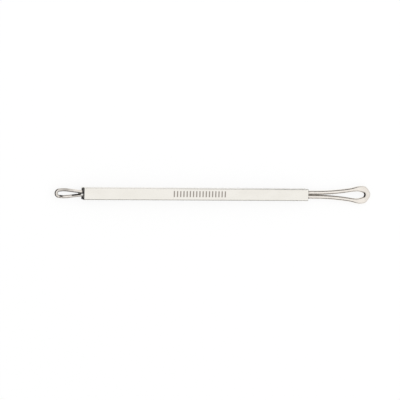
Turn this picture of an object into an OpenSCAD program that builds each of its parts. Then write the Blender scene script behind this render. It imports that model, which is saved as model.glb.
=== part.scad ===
// A double-ended blackhead extractor, lying flat: a thin square handle with a slim wire loop
// in one end and a larger loop, hammered flat at its tip, in the other.
// X runs along the handle towards the large loop, Y across it and Z up. The origin lies on
// the surface that the handle rests on, under the middle of the whole tool.

/* [Handle] */
// Length of the handle tube
handle_length = 77.4; // [70:0.2:86]
// Width of the handle across its flats
handle_width = 4; // [4:0.1:5]
// Radius of the handle's long edges
handle_edge = 0.4; // [0.2:0.05:0.6]
// Thickness of the tube's wall
handle_wall = 0.4; // [0.3:0.05:0.4]

/* [Small loop] */
// Thickness of the small loop's wire
small_wire = 1.05; // [1:0.05:1.2]
// How far the small loop reaches out of the handle
small_reach = 9.4; // [9.2:0.1:12]
// Width of the small loop outside
small_width = 3.35; // [3.2:0.05:3.4]
// Radius of the bend where its legs part
small_flare_radius = 8; // [4:1:10]
// Angle at which its legs part
small_flare_angle = 6.5; // [6.4:0.1:9]
// Radius of the bend where its legs turn towards each other again
small_shoulder_radius = 10; // [4:1:10]
// Angle at which its legs draw together again before the round end
small_pinch = 5.5; // [0:0.5:6]

/* [Large loop] */
// Thickness of the large loop's wire
large_wire = 1.4; // [1.3:0.05:1.45]
// How far the large loop would reach out of the handle if its tip didn't lean
large_reach = 23.65; // [23.2:0.05:26]
// Width of the large loop outside
large_width = 6.15; // [6:0.05:6.25]
// Length of the legs that stays side by side
large_legs = 3.2; // [2:0.2:3.6]
// Radius of the bend where its legs part
large_flare_radius = 84; // [70:1:86]
// Angle at which its legs part
large_flare_angle = 9.5; // [9.2:0.1:9.8]
// Radius of the bend where its legs turn parallel again
large_shoulder_radius = 7; // [4:1:8]
// Angle at which its legs draw together again before the round end
large_pinch = 10; // [0:0.5:10.5]
// Width of the wire at its tip, where it is hammered flat
tip_width = 2.45; // [2.2:0.05:2.5]
// Thickness of the wire at its tip
tip_thickness = 0.92; // [0.8:0.02:1]
// Length over which the wire turns from round to flat
tip_blend = 7; // [6:0.5:8]
// How far the flat's outer edge is drawn in halfway between its side and its end
tip_corner = 0.25; // [0:0.05:0.3]
// Angle at which the flat tip leans down
tip_lean = 13; // [0:1:14]

/* [Inside the handle] */
// Length of wire leg inside the handle
leg_depth = 8; // [6:0.5:12]
// Depth from the mouth to the solder
mouth_depth = 0.3; // [0.2:0.05:0.6]
// Depth of the solder fill
solder_depth = 0.6; // [0.4:0.1:1]
// Gap round a plug and round the wire in it
fit_gap = 0.02; // [0.01:0.01:0.04]

/* [Hidden] */

// Corner radius of the tube's bore
bore_edge = 0.2;
// Gap between two legs that lie side by side
leg_gap = 0.02;
// Radius of the bend from which the flat tip leans down
lean_radius = 10;
// Length of the flat tip past the start of its lean
lean_length = 6.4;
// How square the hammered section is, where 0 stays an ellipse
tip_squareness = 1.2;
// Sides of the wire, and steps along each bend and each half of a loop's end
wire_sides = 24;
bend_steps = 14;
end_steps = 14;

bore_width = handle_width - 2 * handle_wall;
axis_height = handle_width / 2;
plug_front = mouth_depth + solder_depth;
plug_length = leg_depth - plug_front;

small_spread = (small_wire + leg_gap) / 2;
large_spread = (large_wire + leg_gap) / 2;
lean_start = large_reach - lean_length;

// The large loop's furthest point once its tip leans
large_end = leaned([large_reach, 0, 0])[0];
whole_length = small_reach + handle_length + large_end;
small_mouth = small_reach - whole_length / 2;
large_mouth = small_mouth + handle_length;

// A value that rises smoothly from 0 to 1 as t goes from 0 to 1
function eased(t) =
    let (s = min(max(t, 0), 1))
    s * s * (3 - 2 * s);

// A signed power, for the rounded-square outline of the hammered wire
function signed_power(value, power) = sign(value) * pow(abs(value), power);

// Points along one half of a loop as [along, across, heading], from the end of its leg
// inside the handle to its tip: a leg, a bend outwards to an angle, a bend back to a pinch
// angle and a round end. Half is the widest place and tip the furthest, at the wire's middle.
function half_route(spread, half, tip, legs, bend, angle, shoulder, pinch) =
    let (
        slope = (half - spread - (bend + shoulder) * (1 - cos(angle))) / sin(angle),
        widest = legs + (bend + shoulder) * sin(angle) + slope * cos(angle),
        pinched = half - shoulder * (1 - cos(pinch)),
        left = tip - widest - shoulder * sin(pinch),
        straight = left * cos(pinch) / (1 - sin(pinch)) - pinched,
        end_radius = (pinched - straight * sin(pinch)) / cos(pinch)
    )
    concat(
        [[-leg_depth, spread, 0]],
        [for (i = [0:bend_steps])
            let (a = angle * i / bend_steps)
            [legs + bend * sin(a), spread + bend * (1 - cos(a)), a]
        ],
        [for (i = [0:bend_steps])
            let (a = angle - (angle + pinch) * i / bend_steps)
            [widest - shoulder * sin(a), half - shoulder * (1 - cos(a)), a]
        ],
        [for (i = [0:end_steps])
            let (a = pinch + (90 - pinch) * i / end_steps)
            [tip - end_radius * (1 - sin(a)), end_radius * cos(a), -a]
        ]
    );

// The whole route: the half on +Y up to the tip, then its mirror image back to the handle.
// The last number of each point is the side that it is on.
function whole_route(half) =
    concat(
        [for (p = half) [p[0], p[1], p[2], 1]],
        [for (i = [len(half) - 2:-1:0]) [half[i][0], -half[i][1], half[i][2], -1]]
    );

// How far the flat's outer edge is drawn in where the large loop has a given heading: it
// rises from nothing where the round end begins, and falls to nothing again at the tip
function drawn_in(heading) =
    let (t = min(max((-heading - large_pinch) / (90 - large_pinch), 0), 1))
    tip_corner * pow(sin(180 * t), 2);

// One ring of the wire's outline round a point of the route, in the loop's flat plane. The
// outer half of it can be drawn in.
function ring(p, width, thickness, squareness, draw_in = 0) =
    [for (i = [0:wire_sides - 1])
        let (
            a = 360 * i / wire_sides,
            power = 2 / (2 + squareness),
            reach = signed_power(cos(a), power),
            out = reach * width / 2 - max(reach, 0) * draw_in,
            up = signed_power(sin(a), power) * thickness / 2
        )
        [p[0] - out * sin(p[2]), p[1] + p[3] * out * cos(p[2]), up]
    ];

// The place of a point of the flat large loop once its tip is bent down
function leaned(p) =
    let (
        over = max(p[0] - lean_start, 0),
        turn = min(tip_lean, over / lean_radius * 180 / PI),
        rest = over - turn * PI / 180 * lean_radius
    )
    [
        min(p[0], lean_start) + (lean_radius + p[2]) * sin(turn) + rest * cos(turn),
        p[1],
        (lean_radius + p[2]) * cos(turn) - lean_radius - rest * sin(turn)
    ];

// A tube swept through a list of rings, closed at both ends
module swept(rings) {
    sides = len(rings[0]);
    last = len(rings) - 1;
    walls = [
        for (i = [0:last - 1], k = [0:sides - 1])
            let (
                a = i * sides + k,
                b = i * sides + (k + 1) % sides
            )
            each [[a, b, b + sides], [a, b + sides, a + sides]]
    ];
    near_end = [for (k = [1:sides - 2]) [0, k + 1, k]];
    far_end = [for (k = [1:sides - 2]) [0, k, k + 1] + last * sides * [1, 1, 1]];
    polyhedron([for (r = rings) each r], concat(walls, near_end, far_end));
}

// A bar along +X from the origin, with a rounded square section
module square_bar(width, edge, length) {
    rotate([90, 0, 90])
        linear_extrude(length) {
            square([width - 2 * edge, width], center = true);
            square([width, width - 2 * edge], center = true);
            for (x = [-1, 1], y = [-1, 1])
                translate([x * (width / 2 - edge), y * (width / 2 - edge)])
                    circle(edge, $fn = 48);
        }
}

// The space that a pair of legs takes up along +X, with the waist between them
module leg_pair(wire, spread, length) {
    for (side = [-1, 1])
        translate([0, side * spread, 0])
            rotate([0, 90, 0])
                cylinder(d = wire + 2 * fit_gap, h = length, $fn = 96);
    translate([0, -spread, -wire / 5])
        cube([length, 2 * spread, wire * 2 / 5]);
}

// A square filling of the bore with the legs' space left free
module bore_filling(wire, spread, length) {
    difference() {
        square_bar(bore_width - 2 * fit_gap, bore_edge, length);
        translate([-1, 0, 0])
            leg_pair(wire, spread, length + 2);
    }
}

// Puts its children, drawn out of a mouth at the origin along +X, at the small end
module at_small_end() {
    translate([small_mouth, 0, axis_height])
        mirror([1, 0, 0])
            children();
}

// The same at the large end
module at_large_end() {
    translate([large_mouth, 0, axis_height])
        children();
}

module handle_tube() {
    color([0.93, 0.91, 0.88])
        translate([small_mouth, 0, axis_height])
            difference() {
                square_bar(handle_width, handle_edge, handle_length);
                translate([-1, 0, 0])
                    square_bar(bore_width, bore_edge, handle_length + 2);
            }
}

module small_loop() {
    route = half_route(
        small_spread,
        (small_width - small_wire) / 2,
        small_reach - small_wire / 2,
        0,
        small_flare_radius,
        small_flare_angle,
        small_shoulder_radius,
        small_pinch
    );
    color([0.84, 0.82, 0.8])
        at_small_end()
            swept([for (p = whole_route(route)) ring(p, small_wire, small_wire, 0)]);
}

module large_loop() {
    tip = large_reach - tip_width / 2;
    side_width = large_wire + eased(1 - large_width / 2 / tip_blend) * (tip_width - large_wire);
    route = half_route(
        large_spread,
        (large_width - side_width) / 2,
        tip,
        large_legs,
        large_flare_radius,
        large_flare_angle,
        large_shoulder_radius,
        large_pinch
    );
    rings = [
        for (p = whole_route(route))
            let (
                flat = eased(1 - (tip - p[0]) / tip_blend),
                width = large_wire + flat * (tip_width - large_wire),
                thickness = large_wire + flat * (tip_thickness - large_wire),
                outline = ring(p, width, thickness, flat * tip_squareness, drawn_in(p[2]))
            )
            [for (q = outline) leaned(q)]
    ];
    color([0.9, 0.87, 0.84])
        at_large_end()
            swept(rings);
}

module small_end_plug() {
    color([0.72, 0.6, 0.35])
        at_small_end()
            translate([-leg_depth, 0, 0])
                bore_filling(small_wire, small_spread, plug_length);
}

module large_end_plug() {
    color([0.72, 0.6, 0.35])
        at_large_end()
            translate([-leg_depth, 0, 0])
                bore_filling(large_wire, large_spread, plug_length);
}

module small_end_solder() {
    color([0.6, 0.59, 0.58])
        at_small_end()
            translate([-plug_front, 0, 0])
                bore_filling(small_wire, small_spread, solder_depth);
}

module large_end_solder() {
    color([0.6, 0.59, 0.58])
        at_large_end()
            translate([-plug_front, 0, 0])
                bore_filling(large_wire, large_spread, solder_depth);
}

handle_tube();
small_loop();
large_loop();
small_end_plug();
large_end_plug();
small_end_solder();
large_end_solder();
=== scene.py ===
# %% [markdown]
# # A blackhead extractor in nickel-plated steel
# The tool is a thin square handle with a wire loop in each end: a slim round one at the left,
# and a larger one at the right whose tip is hammered flat and leans down a little. It lies on
# a white surface and is seen from almost straight above.
#
# The tool's solids come in as a fixed frame. This lesson models each
# piece that shows a second time, with the softened edges, the flats and the solder that the
# real one has, and gives every piece its metal.

import math

import bpy
from mathutils import Matrix, Vector


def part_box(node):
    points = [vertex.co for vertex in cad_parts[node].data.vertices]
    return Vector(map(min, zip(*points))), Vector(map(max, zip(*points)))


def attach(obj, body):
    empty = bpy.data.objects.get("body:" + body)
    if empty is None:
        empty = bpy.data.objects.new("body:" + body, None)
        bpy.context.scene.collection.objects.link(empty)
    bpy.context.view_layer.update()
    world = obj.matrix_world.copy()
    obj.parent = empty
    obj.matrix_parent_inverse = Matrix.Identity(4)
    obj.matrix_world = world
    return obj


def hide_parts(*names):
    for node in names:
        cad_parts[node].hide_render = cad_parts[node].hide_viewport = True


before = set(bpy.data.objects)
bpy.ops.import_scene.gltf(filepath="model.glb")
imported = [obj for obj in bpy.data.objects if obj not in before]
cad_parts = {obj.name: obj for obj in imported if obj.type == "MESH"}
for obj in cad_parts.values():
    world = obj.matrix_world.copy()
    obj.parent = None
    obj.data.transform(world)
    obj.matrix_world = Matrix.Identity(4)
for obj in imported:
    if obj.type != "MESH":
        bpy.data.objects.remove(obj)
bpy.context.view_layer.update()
print("nodes:", ", ".join(sorted(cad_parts)))

# %% [markdown]
# ## Sizes
# The pieces are modelled in millimetres, one unit to the millimetre, and shrunk to metres
# when they are done. The tool is so small that Blender's smallest steps would show in it
# otherwise. Where a piece sits is read from the frame, so that it lands on its solid.

# %% Measure the frame
MM = 0.001


def box_mm(node):
    """The lowest and highest corner of one of the frame's nodes, in millimetres."""
    low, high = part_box(node)
    return low / MM, high / MM


handle_low, handle_high = box_mm("handle_tube")
handle_size = handle_high - handle_low
handle_centre = (handle_low + handle_high) / 2
axis_height = handle_centre.z
mouths = {"small": handle_low.x, "large": handle_high.x}
print("handle", [round(s, 2) for s in handle_size], "mouths", mouths)

# %% [markdown]
# ## Camera
# The photograph is taken with a long lens from high above. The viewer stands a little towards
# the small loop, so that its end of the handle shows its cut face and the other end doesn't.
# The camera is built from those angles and from how many pixels a millimetre takes, which
# makes its place easy to correct.

# %% Place the camera
camera_lean = math.radians(17.75)
camera_tilt = math.radians(4.85)
camera_roll = math.radians(1.88)
camera_distance = 0.7
pixels_per_mm = 3.0318
picture_size = 400
picture_middle_x = 196.5
picture_middle_y = 194.0
sensor_mm = 36

target = handle_centre * MM
away = Vector((
    -math.sin(camera_lean) * math.cos(camera_tilt),
    math.sin(camera_tilt),
    math.cos(camera_lean) * math.cos(camera_tilt),
))
level_right = Vector((0, 1, 0)).cross(away).normalized()
level_up = away.cross(level_right)
right = math.cos(camera_roll) * level_right + math.sin(camera_roll) * level_up
up = math.cos(camera_roll) * level_up - math.sin(camera_roll) * level_right

place = target + away * camera_distance
aim = (
    target
    + right * (picture_size / 2 - picture_middle_x) / pixels_per_mm * MM
    - up * (picture_size / 2 - picture_middle_y) / pixels_per_mm * MM
)
back = (place - aim).normalized()
right = (right - right.dot(back) * back).normalized()
up = back.cross(right)

camera_data = bpy.data.cameras.new("photo_camera")
camera_data.lens = pixels_per_mm / MM * camera_distance * sensor_mm / picture_size
camera_data.sensor_width = sensor_mm
camera_data.clip_start = 0.01
camera = bpy.data.objects.new("photo_camera", camera_data)
camera.matrix_world = Matrix((
    (right.x, up.x, back.x, place.x),
    (right.y, up.y, back.y, place.y),
    (right.z, up.z, back.z, place.z),
    (0, 0, 0, 1),
))
bpy.context.scene.collection.objects.link(camera)
bpy.context.scene.camera = camera
bpy.context.scene.view_settings.view_transform = "Standard"
print("lens", round(camera_data.lens, 1), "mm")

# %% [markdown]
# ## Shader helpers
# A finish is a network of nodes, and it reads best as arithmetic. Signal wraps a socket of a
# finish and overloads Python's operators, so that an expression adds the Math nodes it needs.

# %% Write node arithmetic as Python


class Signal:
    """A node's output that takes part in Python arithmetic."""

    def __init__(self, finish, socket):
        self.finish = finish
        self.socket = socket

    def calc(self, operation, *values):
        """A Math node of some values."""
        sockets = dict(enumerate(values))
        return self.finish.add("ShaderNodeMath", {"operation": operation}, sockets)

    def __add__(self, other):
        return self.calc("ADD", self, other)

    __radd__ = __add__

    def __sub__(self, other):
        return self.calc("SUBTRACT", self, other)

    def __rsub__(self, other):
        return self.calc("SUBTRACT", other, self)

    def __mul__(self, other):
        return self.calc("MULTIPLY", self, other)

    __rmul__ = __mul__

    def __abs__(self):
        return self.calc("ABSOLUTE", self)

    def lower(self, other):
        """The smaller of two values."""
        return self.calc("MINIMUM", self, other)

    def higher(self, other):
        """The larger of two values."""
        return self.calc("MAXIMUM", self, other)

    def phase(self, pitch):
        """How far from the nearest multiple of pitch."""
        return self.calc("PINGPONG", self, pitch / 2)

    def rise(self, start, end):
        """A smooth step from 0 at start to 1 at end, which may run downwards."""
        turned = start > end
        sockets = {
            "Value": self,
            "From Min": min(start, end),
            "From Max": max(start, end),
            "To Min": 1 if turned else 0,
            "To Max": 0 if turned else 1,
        }
        settings = {"interpolation_type": "SMOOTHSTEP"}
        return self.finish.add("ShaderNodeMapRange", settings, sockets)

    def beside(self, name):
        """Another output of the same node."""
        return Signal(self.finish, self.socket.node.outputs[name])


print("signals ready")

# %% [markdown]
# Any other node comes from one method. It takes the node's type, the settings that decide
# which sockets the node has, and what goes into those sockets. What the finishes need again
# and again, such as noise that is drawn out along the metal, is built on it.

# %% Add any node in one call


class Finish:
    """A material's network of nodes, whose main shader is the Principled one."""

    def __init__(self, name):
        self.material = bpy.data.materials.new(name)
        self.material.use_nodes = True
        self.tree = self.material.node_tree
        self.shader = self.tree.nodes["Principled BSDF"]

    def join(self, socket, value):
        """Links a signal into a socket, or sets its plain value."""
        if isinstance(value, Signal):
            self.tree.links.new(value.socket, socket)
        else:
            socket.default_value = value

    def add(self, kind, settings=None, sockets=None, output=0):
        """Adds a node: its settings first, then its sockets, and gives back an output."""
        node = self.tree.nodes.new(kind)
        for key, value in (settings or {}).items():
            setattr(node, key, value)
        for key, value in (sockets or {}).items():
            self.join(node.inputs[key], value)
        return Signal(self, node.outputs[output])

    def seen_directly(self):
        """1 for camera, glossy and transmission rays, and 0 for the others."""
        camera_ray = self.add("ShaderNodeLightPath", output="Is Camera Ray")
        either = camera_ray.higher(camera_ray.beside("Is Glossy Ray"))
        return either.higher(camera_ray.beside("Is Transmission Ray"))

    def set(self, **sockets):
        """Sets the main shader's sockets, with words joined by _ for their names."""
        for key, value in sockets.items():
            self.join(self.shader.inputs[key.replace("_", " ")], value)

    def show(self, shader):
        """Shows another shader than the main one."""
        self.join(self.tree.nodes["Material Output"].inputs["Surface"], shader)

    def axes(self, vector):
        """The x, y and z of a vector, each as a signal."""
        first = self.add("ShaderNodeSeparateXYZ", None, {"Vector": vector})
        return [first.beside(axis) for axis in "XYZ"]

    def in_mm(self, centre):
        """Object coordinates in millimetres from a centre that is given in them."""
        sockets = {
            "Vector": self.add("ShaderNodeTexCoord", output="Object"),
            "Location": [-c for c in centre],
            "Scale": [1 / MM] * 3,
        }
        return self.add("ShaderNodeMapping", None, sockets)

    def noise(self, vector, stretch, detail=3.0):
        """Cloudy noise whose patches are as long along each axis as stretch says."""
        sockets = {"Vector": vector, "Scale": [1 / s for s in stretch]}
        spread = self.add("ShaderNodeMapping", None, sockets)
        sockets = {"Vector": spread, "Scale": 1.0, "Detail": detail}
        return self.add("ShaderNodeTexNoise", None, sockets)

    def mix(self, factor, first, second):
        """A colour between two, by a factor. A Mix node has sockets for every kind of data:
        those for colours are numbers 6 and 7, and their result is number 2."""
        sockets = {0: factor, 6: first, 7: second}
        return self.add("ShaderNodeMix", {"data_type": "RGBA"}, sockets, output=2)

    def bump(self, height, distance, strength):
        """A normal that a height field has bent."""
        sockets = {"Height": height, "Distance": distance, "Strength": strength}
        return self.add("ShaderNodeBump", None, sockets)


def colour(red, green, blue):
    """A colour with its alpha, as the sockets take it."""
    return (red, green, blue, 1.0)


print("finishes ready")

# %% [markdown]
# ## Light
# A shiny tool shows what stands round it, so the surroundings are its look. White above and
# white below make the flats pale. Grey cards round it, which only reflections can see, draw
# the thin dark lines along the rounded edges and the wires, as the darker walls of a studio
# do. The softbox gives the shadow its direction.

# %% Make the surroundings
scene = bpy.context.scene
world = bpy.data.worlds.new("studio")
world.use_nodes = True
scene.world = world
background = world.node_tree.nodes["Background"]
background.inputs["Color"].default_value = colour(1, 1, 1)
background.inputs["Strength"].default_value = 1.0

lamp_data = bpy.data.lights.new("softbox", "AREA")
lamp_data.shape = "RECTANGLE"
lamp_data.size = 0.5
lamp_data.size_y = 0.35
lamp_data.energy = 0.54
lamp = bpy.data.objects.new("softbox", lamp_data)
lamp.location = (0.12, 0.16, 0.5)
lamp.rotation_euler = (-lamp.location).to_track_quat("-Z", "Y").to_euler()
lamp.visible_camera = False
lamp.visible_glossy = False
scene.collection.objects.link(lamp)
print("world and softbox made")

# %% [markdown]
# The floor is white to the camera and in reflections. A part of it is a plain matt surface,
# so that the tool still drops a soft shadow on it.

# %% Make the floor
floor_half = 1.5
shadow_share = 0.18
floor_drop = 0.00003

bpy.ops.object.select_all(action="DESELECT")
bpy.ops.mesh.primitive_plane_add(size=2 * floor_half, location=(0, 0, -floor_drop))
floor = bpy.context.object
floor.name = "floor"
white = Finish("white_floor")
white.set(Base_Color=colour(0.9, 0.9, 0.9), Roughness=1.0)
glow = white.add("ShaderNodeEmission", None, {"Strength": 1.0})
matt = Signal(white, white.shader.outputs[0])
glow_share = white.seen_directly() * (1 - shadow_share)
white.show(white.add("ShaderNodeMixShader", None, {0: glow_share, 1: matt, 2: glow}))
floor.data.materials.append(white.material)
print("floor", 2 * floor_half, "m wide")

# %% [markdown]
# Each part of a rounded edge or of a wire mirrors a spot a few centimetres to the right of it,
# as the camera looks down from the left. So the row of cards behind the tool, from dark to
# pale and back, sets how dark its far edge lines are from end to end, and the two before it
# do the same for the near ones. The card that lies on the floor darkens the small loop.

# %% Stand the grey cards round the tool


def card(name, middle, size, rotation, shade):
    """A grey card that only reflections see."""
    bpy.ops.object.select_all(action="DESELECT")
    bpy.ops.mesh.primitive_plane_add(size=1, location=middle, rotation=rotation)
    board = bpy.context.object
    board.name = name
    board.scale = (size[0], size[1], 1)
    paint = Finish(name + "_paint")
    paint.tree.nodes.remove(paint.shader)
    paint.show(paint.add("ShaderNodeEmission", None, {"Color": colour(shade, shade, shade)}))
    board.data.materials.append(paint.material)
    board.visible_camera = False
    board.visible_diffuse = False
    board.visible_transmission = False
    board.visible_shadow = False


quarter = math.pi / 2
along_tool = (quarter, 0, 0)
across_tool = (quarter, 0, quarter)
lying = (0, 0, 0)
card("card_behind_left", (-0.106, 0.060, 0.032), (0.090, 0.064), along_tool, 0.02)
card("card_behind_pale", (-0.030, 0.060, 0.032), (0.062, 0.064), along_tool, 0.85)
card("card_behind_grey", (0.022, 0.060, 0.032), (0.042, 0.064), along_tool, 0.45)
card("card_behind_light", (0.049, 0.060, 0.032), (0.012, 0.064), along_tool, 0.75)
card("card_behind_right", (0.062, 0.060, 0.032), (0.014, 0.064), along_tool, 0.02)
card("card_behind_end", (0.099, 0.060, 0.032), (0.060, 0.064), along_tool, 0.34)
card("card_before", (-0.041, -0.060, 0.024), (0.218, 0.048), along_tool, 0.08)
card("card_before_end", (0.109, -0.060, 0.024), (0.082, 0.048), along_tool, 0.30)
card("card_left", (-0.120, 0, 0.030), (0.12, 0.060), across_tool, 0.05)
card("card_right", (0.105, 0, 0.015), (0.12, 0.030), across_tool, 0.70)
card("card_under_left", (-0.096, 0, 0.0002), (0.080, 0.08), lying, 0.02)
print("cards made")

# %% [markdown]
# ## Modelling helpers
# The frame leaves its own nodes selected, and an operator acts on all that is selected. So
# each primitive starts from an empty selection, and faces and edges are picked in code, by
# their place or direction, instead of with the mouse.

# %% Pick parts of a mesh in code
TOUCH = 0.01


def begin(add, name, **places):
    """Adds a primitive with nothing else selected."""
    bpy.ops.object.select_all(action="DESELECT")
    add(**places)
    piece = bpy.context.object
    piece.name = name
    return piece


def pick(piece, kind, test):
    """Goes to edit mode with the vertices, edges or faces picked that pass a test.
    The test gets a vertex's place, an edge's two ends, or a face's middle and normal."""
    if piece.mode == "EDIT":
        bpy.ops.object.mode_set(mode="OBJECT")
    mesh = piece.data
    for part in (mesh.vertices, mesh.edges, mesh.polygons):
        part.foreach_set("select", [False] * len(part))
    if kind == "vertices":
        found = [v for v in mesh.vertices if test(v.co)]
    elif kind == "edges":
        ends = [[mesh.vertices[i].co for i in e.vertices] for e in mesh.edges]
        found = [e for e, (a, b) in zip(mesh.edges, ends) if test(a, b)]
    else:
        found = [f for f in mesh.polygons if test(f.center, f.normal)]
    for part in found:
        part.select = True
    modes = [kind == k for k in ("vertices", "edges", "faces")]
    bpy.context.tool_settings.mesh_select_mode = modes
    bpy.ops.object.mode_set(mode="EDIT")
    return len(found)


def leave_edit():
    bpy.ops.object.mode_set(mode="OBJECT")


def apply_place(piece):
    """Moves an object's place, turn and scale into its mesh."""
    bpy.ops.object.select_all(action="DESELECT")
    piece.select_set(True)
    bpy.context.view_layer.objects.active = piece
    bpy.ops.object.transform_apply(location=True, rotation=True, scale=True)


print("places closer than", TOUCH, "mm count as one")

# %% [markdown]
# A finished piece stands at the origin, unturned and in metres, with its place in its mesh,
# as the frame's own nodes do. It rides on the tool's one body and hides the solid that it
# stands for. How far it reaches past that solid is printed: a hair at most, but for the
# solder, which has crept out of its mouth.

# %% Finish a piece


def finish_piece(piece, node, finish, smooth_below=40):
    """Shrinks a piece to metres, and lets it stand for its node in the frame."""
    piece.scale = piece.scale * MM
    piece.location = piece.location * MM
    apply_place(piece)
    bpy.ops.object.shade_smooth_by_angle(angle=math.radians(smooth_below))
    piece.data.materials.clear()
    piece.data.materials.append(finish.material)
    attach(piece, "root")
    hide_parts(node)
    low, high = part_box(node)
    mine = [Vector(c) for c in piece.bound_box]
    over = max(
        max(low[i] - min(c[i] for c in mine), max(c[i] for c in mine) - high[i])
        for i in range(3)
    )
    print(piece.name, len(piece.data.polygons), "faces, past its solid by", round(over / MM, 3))


print("pieces can be finished")

# %% [markdown]
# ## Nickel plate for the handle
# Drawn square stock keeps fine lines along its length under the plate. They are too fine to
# see at arm's length, but they soften the shine. The etched marks on the top are plain
# strokes, darker and duller than the metal round them. The cut ends and the insides of the
# mouths are painted nearly black and duller as painted shade, but for one low corner of the
# small end, left as bare metal. Each number is in millimetres from the middle of the handle.

# %% Mix the handle's finish
nickel = colour(0.900, 0.875, 0.820)
nickel_shade = colour(0.815, 0.785, 0.725)
# The colour of the painted shade on the cut ends and in the mouths.
painted_end_shade = colour(0.016, 0.013, 0.010)
etch_grey = colour(0.300, 0.265, 0.235)

stroke_count = 17
stroke_pitch = 1.1
stroke_width = 0.42
stroke_height = 2.0
stroke_row_x = 0.55
stroke_row_y = 0.12
row_half = stroke_count * stroke_pitch / 2
stroke_side = (stroke_pitch - stroke_width) / 2

half_length = handle_size.x / 2
half_width = handle_size.y / 2
wall = 0.4
bore_half = half_width - wall
bare_corner_slope = 0.375
bare_corner_below = -1.4
end_shade_above = -1.1

plate = Finish("handle_nickel_plate")
spot = plate.in_mm(handle_centre)
x, y, z = plate.axes(spot)
lines = plate.noise(spot, (12, 0.05, 0.05), detail=2)
clouds = plate.noise(spot, (9, 3, 3))

# The cut ends and the insides of the mouths are painted nearly black as painted shade; a low
# corner of the small end, below a sloping line, stays bare metal.
low_corner = (z - y * bare_corner_slope).rise(bare_corner_below, end_shade_above)
cut = abs(x).rise(half_length - 0.09, half_length - 0.03) * low_corner.higher(x.rise(-1, 1))
bore = abs(y).higher(abs(z)).rise(bore_half + 0.06, bore_half + 0.02)
ends = cut.higher(bore)

along = abs(x - stroke_row_x).rise(row_half + 0.02, row_half)
across = abs(y - stroke_row_y).rise(stroke_height / 2 + 0.06, stroke_height / 2 - 0.06)
in_stroke = (x - stroke_row_x + row_half).phase(stroke_pitch)
stroke = in_stroke.rise(stroke_side - 0.04, stroke_side + 0.04)
top = z.rise(half_width - 0.2, half_width - 0.05)
etched = along * across * stroke * top

worn = (abs(y) + abs(z)).rise(2 * half_width - 0.5, 2 * half_width - 0.2)
bright = plate.mix(clouds.rise(0.35, 0.75) * 0.35 + lines * 0.35, nickel, nickel_shade)
marked = plate.mix(etched * 0.9, bright, etch_grey)
dull = lines * 0.08 + etched * 0.3 + worn * 0.06 + ends * 0.4
plate.set(
    Base_Color=plate.mix(ends, marked, painted_end_shade),
    Metallic=1.0 - ends * 0.6,
    Roughness=(0.13 + dull).lower(0.75),
    Normal=plate.bump(lines * 0.3 - etched * 6, distance=0.000004, strength=0.6),
)
print("handle finish has", len(plate.tree.nodes), "nodes")

# %% [markdown]
# ## The handle
# The real handle is a length of square tube. It starts as a cube at the tube's size. Each end
# face is inset by the wall's thickness and pushed in, which makes the mouths. Then the long
# edges are rounded, and the rims are broken a little as a file would do.

# %% Model the handle
long_edge_radius = 0.4
bore_edge_radius = 0.2
mouth_reach = 0.85
rim_softness = 0.07

handle = begin(bpy.ops.mesh.primitive_cube_add, "handle", size=1, location=handle_centre)
handle.scale = handle_size
apply_place(handle)
for side in (-1, 1):
    pick(handle, "faces", lambda middle, normal: normal.x * side > 1 - TOUCH)
    bpy.ops.mesh.inset(thickness=wall)
    bpy.ops.mesh.extrude_region_move(
        TRANSFORM_OT_translate={"value": (-side * mouth_reach, 0, 0)}
    )


def long_edge(half):
    """A test for edges along x whose distance from the handle's axis is half on each side."""
    def test(a, b):
        level = abs(abs(a.y) - half) < TOUCH and abs(abs(a.z - axis_height) - half) < TOUCH
        return level and abs(a.x - b.x) > mouth_reach / 2 and abs(a.y - b.y) < TOUCH
    return test


print(pick(handle, "edges", long_edge(half_width)), "long edges")
bpy.ops.mesh.bevel(offset=long_edge_radius, segments=8, affect="EDGES")
print(pick(handle, "edges", long_edge(bore_half)), "bore edges")
bpy.ops.mesh.bevel(offset=bore_edge_radius, segments=4, affect="EDGES")


def rim(place):
    """The rim that a vertex is on, of the two that each cut end has, or None."""
    x, y, z = (abs(c) for c in place - handle_centre)
    flat_half = half_width - long_edge_radius
    from_round = math.hypot(max(y - flat_half, 0), max(z - flat_half, 0))
    if abs(x - half_length) > TOUCH:
        return None
    if max(y, z) < bore_half + TOUCH:
        return "bore"
    if max(y, z) > half_width - TOUCH or from_round > long_edge_radius - TOUCH:
        return "outside"
    return None


def rim_edge(a, b):
    """A test for edges that run round a rim."""
    return rim(a) is not None and rim(a) == rim(b)


print(pick(handle, "edges", rim_edge), "rim edges")
bpy.ops.mesh.bevel(offset=rim_softness, segments=2, affect="EDGES")
leave_edit()
finish_piece(handle, "handle_tube", plate)

# %% [markdown]
# ## Nickel wire for the loops
# The wire has the same plate. Its inner side is painted duller and darker as painted shade,
# most of all where the legs lie together, inside the tip and where the legs enter the mouth.
# The wire keeps its drawn lines through every bend: each vertex remembers where it was on the
# straight wire, and the finish reads that.

# %% Mix the wire's finish
STRAIGHT = "straight_wire_place"
buffed = colour(0.940, 0.885, 0.815)
buffed_shade = colour(0.640, 0.600, 0.555)
# The colour of the painted shade on the wires.
painted_wire_shade = colour(0.025, 0.020, 0.016)
everywhere = 9.0
leg_end = 40.0


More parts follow.
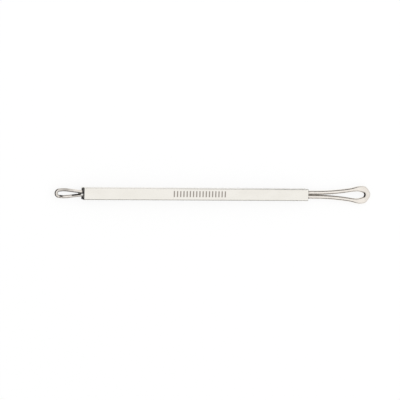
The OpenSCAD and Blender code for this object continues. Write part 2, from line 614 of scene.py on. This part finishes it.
def wire_finish(name, length, dulness, shade_marks):
    """A plated wire. Each mark of painted shade is (darkness, start, end, fade, side, edge). It
    lies along the wire from start to end, as distances from the loop's tip, and across the wire
    it covers what is below side, fully from side less edge on. A negative edge covers what is
    above."""
    metal = Finish(name)
    memory = metal.add("ShaderNodeAttribute", {"attribute_name": STRAIGHT}, output="Vector")
    along_wire, across_wire = metal.axes(memory)[:2]
    from_tip = along_wire - length / 2
    drawn = metal.noise(memory, (9, 0.04, 0.04), detail=2)
    patches = metal.noise(memory, (2.5, 1.2, 1.2))
    dark = None
    # Each mark paints shade along and round the wire.
    for darkness, start, end, fade, side, edge in shade_marks:
        spell = from_tip.rise(start, start + fade) * from_tip.rise(end, end - fade)
        shade_mark = spell * across_wire.rise(side, side - edge) * darkness
        dark = shade_mark if dark is None else dark.higher(shade_mark)
    uneven = (patches.rise(0.3, 0.7) * dulness + drawn * 0.3).lower(1.0)
    shine = metal.mix(uneven, buffed, buffed_shade)
    metal.set(
        Base_Color=metal.mix(dark, shine, painted_wire_shade),
        Metallic=1.0,
        Roughness=(0.12 + drawn * 0.08 + uneven * 0.08 + dark * 0.25).lower(0.7),
        Normal=metal.bump(drawn * 0.3 + patches, distance=0.000004, strength=0.5),
    )
    return metal


print("wire finish ready")

# %% [markdown]
# ## Bending wire
# A maker bends a straight wire round pegs. The same is done here: a path is drawn with
# straights and bends, a straight wire is made with enough rings in it, and a Curve modifier
# lays the wire along the path. Swept this way, the hammered flat can be made first, on the
# straight wire, where it is easy. The path is a chain of edges: a line is an extrusion of its
# last vertex, and a bend is a spin of it.

# %% Draw paths
BEND_STEPS = 18
TIP_STEPS = 60


class Pen:
    """Draws a wire's path as a chain of edges, with straights and bends, from a start point."""

    def __init__(self, start, normal):
        self.at = Vector(start)
        self.ahead = Vector((1, 0, 0))
        self.normal = Vector(normal)
        self.drawn = 0.0
        self.path = begin(bpy.ops.mesh.primitive_plane_add, "path", size=1, location=start)
        apply_place(self.path)
        pick(self.path, "vertices", lambda place: True)
        bpy.ops.mesh.merge(type="CENTER")

    def line(self, length):
        step = self.ahead * length
        bpy.ops.mesh.extrude_region_move(TRANSFORM_OT_translate={"value": step})
        self.at += step
        self.drawn += length

    def bend(self, radius, degrees, steps=BEND_STEPS):
        """Turns to the left for positive degrees, and to the right for negative ones."""
        angle = math.radians(degrees)
        inward = self.normal.cross(self.ahead) * math.copysign(radius, degrees)
        centre = self.at + inward
        bpy.ops.mesh.spin(steps=steps, angle=-angle, center=centre, axis=self.normal)
        turn = Matrix.Rotation(angle, 3, self.normal)
        self.at = centre - turn @ inward
        self.ahead = turn @ self.ahead
        self.drawn += radius * abs(angle)

    def done(self):
        """Leaves the path as a curve, for a wire to follow."""
        leave_edit()
        bpy.ops.object.convert(target="CURVE")
        return bpy.context.object


print("a bend has", BEND_STEPS, "steps, and a loop's tip", TIP_STEPS)

# %% [markdown]
# The straight wire is a disc that is drawn out along x and cut into rings. Each vertex notes
# its place while the wire is still straight, for the finish to read. Subdividing twice gives
# many even rings from two small numbers.

# %% Make straight wire and lay it along a path
WIRE_SIDES = 40
FIRST_CUTS = 15


def straight_wire(name, thickness, length, rings_per_mm):
    """A closed round bar along x, cut into many rings, whose vertices remember their place."""
    wire = begin(
        bpy.ops.mesh.primitive_circle_add,
        name,
        vertices=WIRE_SIDES,
        radius=thickness / 2,
        fill_type="NGON",
        rotation=(0, quarter, 0),
    )
    apply_place(wire)
    pick(wire, "faces", lambda middle, normal: True)
    bpy.ops.mesh.extrude_region_move(TRANSFORM_OT_translate={"value": (length, 0, 0)})
    for cuts in (FIRST_CUTS, math.ceil(length * rings_per_mm / (FIRST_CUTS + 1))):
        pick(wire, "edges", lambda a, b: abs(a.x - b.x) > TOUCH)
        bpy.ops.mesh.subdivide(number_cuts=cuts)
    bpy.ops.mesh.select_all(action="SELECT")
    bpy.ops.mesh.normals_make_consistent(inside=False)
    leave_edit()
    memory = wire.data.attributes.new(STRAIGHT, "FLOAT_VECTOR", "POINT")
    places = [c for v in wire.data.vertices for c in v.co]
    memory.data.foreach_set("vector", places)
    return wire


def follow(wire, path):
    """Lays a wire along a path, for good, and takes the path away."""
    bpy.ops.object.select_all(action="DESELECT")
    wire.select_set(True)
    bpy.context.view_layer.objects.active = wire
    bending = wire.modifiers.new("follow", "CURVE")
    bending.object = path
    bending.deform_axis = "POS_X"
    bpy.ops.object.modifier_apply(modifier=bending.name)
    bpy.data.objects.remove(path)


print("a wire has", WIRE_SIDES, "sides")

# %% [markdown]
# Both loops take the same course. The legs leave the mouth side by side, part in a flare, turn
# back at the shoulders until they draw together a little, and meet in one round end. Only
# the bends are given. The straights between them follow from the loop's reach and width.

# %% Draw a loop's path
leg_depth = 8.0
leg_gap = 0.02


def loop_path(spread, half, tip, together, flare, shoulder, pinch):
    """The path of a whole loop from leg end to leg end, in the plane z = 0, with its mouth at
    x = 0. spread is how far off the middle line the legs leave the mouth, half how far off it
    the sides get, tip how far out the end is, and together how far the legs run side by side.
    flare is (radius, angle) where the legs part, shoulder the radius where they turn back, and
    pinch the angle at which they draw together before the round end."""
    flare_radius, angle = flare[0], math.radians(flare[1])
    close = math.radians(pinch)
    both = flare_radius + shoulder
    slope = (half - spread - both * (1 - math.cos(angle))) / math.sin(angle)
    widest = together + both * math.sin(angle) + slope * math.cos(angle)
    pinched = half - shoulder * (1 - math.cos(close))
    left = tip - widest - shoulder * math.sin(close)
    straight = left * math.cos(close) / (1 - math.sin(close)) - pinched
    end_radius = (pinched - straight * math.sin(close)) / math.cos(close)
    pen = Pen((-leg_depth, spread, 0), (0, 0, 1))
    pen.line(leg_depth + together)
    pen.bend(flare_radius, flare[1])
    pen.line(slope)
    pen.bend(shoulder, -flare[1] - pinch)
    pen.line(straight)
    pen.bend(end_radius, 2 * pinch - 180, steps=TIP_STEPS)
    pen.line(straight)
    pen.bend(shoulder, -flare[1] - pinch)
    pen.line(slope)
    pen.bend(flare_radius, flare[1])
    pen.line(leg_depth + together)
    print("path", round(pen.drawn, 2), "mm, ends at", [round(c, 3) for c in pen.at])
    return pen.done(), pen.drawn


def seat_loop(wire, mouth, towards):
    """Puts a loop that was bent at the origin into its mouth, turned towards that end."""
    if towards < 0:
        wire.rotation_euler.z = math.pi
    wire.location = (mouth, 0, axis_height)
    apply_place(wire)


print("each leg goes", leg_depth, "mm into the handle")

# %% [markdown]
# ## The large loop
# Its tip is hammered flat. On the straight wire that is one squeeze with proportional editing,
# which fades out along the wire: wider across, thinner from above. A file has then taken a
# little off the outer edge on both sides of the tip.

# %% Make the large loop's wire and squeeze its middle
large_wire = 1.4
large_width = 6.15
large_reach = 23.65
tip_width = 2.45
side_width = 2.02
tip_thickness = 0.92
tip_swell = 1.3
flat_half_length = 1.0
flat_fade = 7.0
filed_place = 1.3
filed_half_width = 0.1
filed_edge = 0.8
filed_depth = 0.25
filed_fade = 1.4

large_path, large_length = loop_path(
    spread=(large_wire + leg_gap) / 2,
    half=(large_width - side_width) / 2,
    tip=large_reach - tip_width / 2,
    together=3.2,
    flare=(84, 9.5),
    shoulder=7,
    pinch=10,
)
large_loop = straight_wire("large_wire_loop", large_wire, large_length, rings_per_mm=8)
middle_x = large_length / 2


def in_flat(place):
    return abs(place.x - middle_x) < flat_half_length


pick(large_loop, "vertices", in_flat)
bpy.ops.transform.resize(
    value=(1, tip_width / large_wire, tip_thickness * tip_swell / large_wire),
    center_override=(middle_x, 0, 0),
    use_proportional_edit=True,
    proportional_edit_falloff="SMOOTH",
    proportional_size=flat_fade,
)
leave_edit()


def under_file(place):
    return abs(place.x - file_x) < filed_half_width and place.y > filed_edge


for side in (-1, 1):
    file_x = middle_x + side * filed_place
    pick(large_loop, "vertices", under_file)
    bpy.ops.transform.translate(
        value=(0, -filed_depth, 0),
        use_proportional_edit=True,
        proportional_edit_falloff="SMOOTH",
        proportional_size=filed_fade,
    )
    leave_edit()
print("wire", round(large_length, 2), "mm, at its middle", round(large_loop.dimensions.y, 2))

# %% [markdown]
# Next the rows of vertices on top, and those below, are pressed level, with all others hidden
# so that they stay put. The wire is then laid along its path.

# %% Press the flats level and bend the wire
memory = large_loop.data.attributes[STRAIGHT]
first_height = [d.vector.z for d in memory.data]
pressed = large_wire / 2 / tip_swell
for face in (-1, 1):
    pick(large_loop, "vertices", lambda place: False)
    leave_edit()
    for v in large_loop.data.vertices:
        v.select = first_height[v.index] * face < pressed
    bpy.ops.object.mode_set(mode="EDIT")
    bpy.ops.mesh.hide(unselected=False)
    leave_edit()
    for v in large_loop.data.vertices:
        v.select = not v.hide and in_flat(v.co)
    bpy.ops.object.mode_set(mode="EDIT")
    bpy.ops.transform.resize(
        value=(1, 1, 0),
        center_override=(middle_x, 0, face * tip_thickness / 2),
        use_proportional_edit=True,
        proportional_edit_falloff="SMOOTH",
        proportional_size=flat_fade,
    )
    bpy.ops.mesh.reveal(select=False)
    leave_edit()
follow(large_loop, large_path)
print("large loop", [round(s, 2) for s in large_loop.dimensions], "mm")

# %% [markdown]
# The leaning tip is the same trick in the upright plane: a second path runs along x, bends
# down a little and runs on, and the whole loop is laid along it. Painted shade then darkens
# the inside of the tip's hole, the sides that the legs turn to each other, and the last bit
# of each leg before the mouth.

# %% Lean the tip and seat the loop
lean_length = 6.4
lean_radius = 10.0
lean_angle = 13.0

pen = Pen((0, 0, 0), (0, 1, 0))
pen.line(large_reach - lean_length)
pen.bend(lean_radius, lean_angle)
pen.line(lean_length)
follow(large_loop, pen.done())
seat_loop(large_loop, mouths["large"], 1)
# The stains below are painted shade: inside the tip's hole, on the legs' inner sides, and where
# the legs enter the mouth.
large_metal = wire_finish(
    "large_loop_nickel",
    large_length,
    dulness=0.25,
    shade_marks=(
        (1.00, -2.6, 2.6, 0.8, -0.40, 0.18),
        (0.35, -leg_end, -16.0, 4.0, -0.50, 0.15),
        (0.40, 16.0, leg_end, 4.0, -0.40, 0.20),
        (0.25, -leg_end, -6.0, 6.0, -0.45, 0.20),
        (0.50, 5.5, leg_end, 3.0, -0.30, 0.30),
        (0.50, -leg_end, -23.3, 0.4, everywhere, 0.1),
        (0.50, 23.3, leg_end, 0.4, everywhere, 0.1),
        (1.00, -leg_end, -22.7, 0.3, 0.00, -0.30),
        (1.00, 22.7, leg_end, 0.3, 0.00, -0.30),
    ),
)
finish_piece(large_loop, "large_loop", large_metal)

# %% [markdown]
# ## The small loop
# The thinner wire stays round all the way. It is bent by hand to a slim drop. Its painted
# shade is darker than the large loop's, most of all inside its bend and where its legs meet
# at the mouth.

# %% Bend the small loop
small_wire = 1.05
small_width = 3.35
small_reach = 9.4

small_path, small_length = loop_path(
    spread=(small_wire + leg_gap) / 2,
    half=(small_width - small_wire) / 2,
    tip=small_reach - small_wire / 2,
    together=0,
    flare=(8, 6.5),
    shoulder=10,
    pinch=5.5,
)
small_loop = straight_wire("small_wire_loop", small_wire, small_length, rings_per_mm=12)
follow(small_loop, small_path)
seat_loop(small_loop, mouths["small"], -1)
# The stains below are painted shade: on the inner sides, round the tip, along part of one leg
# and where the legs meet at the mouth.
small_metal = wire_finish(
    "small_loop_nickel",
    small_length,
    dulness=1.0,
    shade_marks=(
        (0.97, -leg_end, -5.4, 0.6, 0.06, 0.22),
        (0.97, -3.0, -1.2, 0.6, 0.20, 0.30),
        (0.70, 5.5, leg_end, 3.0, -0.10, 0.30),
        (0.92, 6.6, leg_end, 2.0, -0.20, 0.20),
        (0.20, -1.8, 1.8, 0.8, everywhere, 0.1),
        (0.45, -leg_end, leg_end, 1.0, -0.10, 0.30),
        (0.65, -3.0, 3.5, 1.0, -0.20, 0.20),
        (0.22, 0.8, 5.2, 1.0, everywhere, 0.1),
        (0.60, -leg_end, -9.3, 0.4, everywhere, 0.1),
        (0.60, 9.3, leg_end, 0.4, everywhere, 0.1),
    ),
)
finish_piece(small_loop, "small_loop", small_metal)

# %% [markdown]
# ## Solder
# Soft solder runs in round the legs and freezes with a dull skin. It is painted dark as painted
# shade wherever it is sunk in the mouth or lies between the legs, with random dark flux added.
# Only what stands up on a leg stays bright, and it spreads light so softly that it is given
# little of a metal's shine. The finish finds these places by their distance from the middle of
# the handle.

# %% Mix the solder's finish
solder_bright = colour(0.95, 0.93, 0.90)
solder_shade_and_flux = colour(0.030, 0.025, 0.020)

solder_metal = Finish("solder_skin")
spot = solder_metal.in_mm(handle_centre)
x, y, z = solder_metal.axes(spot)
grain = solder_metal.noise(spot, (0.25, 0.25, 0.25))
flux = solder_metal.noise(spot, (0.7, 0.7, 0.7)).rise(0.42, 0.6)
# The solder in the mouth and between the legs is painted dark as painted shade; the flux noise
# adds random dark patches.
in_mouth = abs(x).rise(half_length + 0.02, half_length - 0.10)
between = z.rise(0.42, 0.30).higher(y.rise(-0.16, -0.04))
sunk_shade = in_mouth.higher(between * 0.8)
shade_and_flux = (sunk_shade * 0.85 + flux * 0.15).lower(1.0)
solder_metal.set(
    Base_Color=solder_metal.mix(shade_and_flux, solder_bright, solder_shade_and_flux),
    Metallic=0.2 + shade_and_flux * 0.8,
    Roughness=0.18 + shade_and_flux * 0.35,
    Normal=solder_metal.bump(grain, distance=0.00002, strength=0.6),
)
print("solder finish has", len(solder_metal.tree.nodes), "nodes")

# %% [markdown]
# The solder climbs each leg a little, which makes a collar round it. At the small end it has
# also crept out between the legs, and a bead of it has stayed on top of one. A block as large
# as the solid, a cone for each collar and a few drops are placed one by one. A Remesh modifier
# melts them into one mass, as no bevel could, and a Smooth modifier settles its skin.

# %% Melt the solder into the mouths
skin_voxel = 0.05
collar_climb = 0.32
collar_top = 0.04
collar_depth = 0.35
collar_middle = 0.12
drop_shape = (1.25, 0.9, 0.8)


def solder_fill(node, mouth, towards, wire, drops):
    """The solder in one mouth: a block, a collar round each leg, and drops (out, y, z, radius)
    measured from the mouth's middle."""
    low, high = box_mm(node)
    block = begin(
        bpy.ops.mesh.primitive_cube_add, node + "_melt", size=1, location=(low + high) / 2
    )
    block.scale = high - low
    apply_place(block)
    surface = high.x if towards > 0 else low.x
    spread = (wire + leg_gap) / 2
    parts = [block]
    for side in (-1, 1):
        collar = begin(
            bpy.ops.mesh.primitive_cone_add,
            "collar",
            vertices=32,
            radius1=wire / 2 + collar_climb,
            radius2=wire / 2 + collar_top,
            depth=collar_depth,
            location=(surface + towards * collar_middle, side * spread, axis_height),
            rotation=(0, towards * quarter, 0),
        )
        apply_place(collar)
        parts.append(collar)
    for out, across_mouth, over_axis, radius in drops:
        drop = begin(
            bpy.ops.mesh.primitive_ico_sphere_add,
            "drop",
            subdivisions=3,
            radius=radius,
            location=(mouth + towards * out, across_mouth, axis_height + over_axis),
        )
        drop.scale = drop_shape
        apply_place(drop)
        parts.append(drop)
    bpy.ops.object.select_all(action="DESELECT")
    for part in parts:
        part.select_set(True)
    bpy.context.view_layer.objects.active = block
    bpy.ops.object.join()
    melt = block.modifiers.new("melt", "REMESH")
    melt.mode = "VOXEL"
    melt.voxel_size = skin_voxel
    bpy.ops.object.modifier_apply(modifier=melt.name)
    settle = block.modifiers.new("settle", "SMOOTH")
    settle.factor = 0.5
    settle.iterations = 6
    bpy.ops.object.modifier_apply(modifier=settle.name)
    finish_piece(block, node, solder_metal, smooth_below=60)


bead = (0.30, -0.28, 0.62, 0.43)
between_legs = (0.95, 0.0, -0.10, 0.46)
small_sunk = (-0.25, 0.0, -0.42, 0.30)
large_sunk = (-0.25, 0.0, 0.50, 0.30)
small_drops = (bead, between_legs, small_sunk)
solder_fill("small_end_solder", mouths["small"], -1, small_wire, small_drops)
solder_fill("large_end_solder", mouths["large"], 1, large_wire, (large_sunk,))

# %% [markdown]
# ## Brass plugs
# Two slotted slugs grip the legs deep in the handle. Nothing of them shows, so there is nothing
# to model a second time. They are still part of the tool, and the frame's own solids get a
# plain brass, dull in patches, with fine saw marks across it.

# %% Give the plugs their brass
brass_bright = colour(0.72, 0.55, 0.27)
brass_dull = colour(0.50, 0.37, 0.19)

brass = Finish("plug_brass")
spot = brass.in_mm(handle_centre)
saw = brass.noise(spot, (0.06, 2.0, 2.0), detail=2)
dust = brass.noise(spot, (1.5, 1.5, 1.5))
brass.set(
    Base_Color=brass.mix(dust.rise(0.4, 0.7), brass_bright, brass_dull),
    Metallic=1.0,
    Roughness=0.28 + saw * 0.2,
    Normal=brass.bump(saw, distance=0.00001, strength=0.5),
)
for node in ("small_end_plug", "large_end_plug"):
    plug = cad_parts[node]
    plug.data.materials.clear()
    plug.data.materials.append(brass.material)
print("plugs finished")
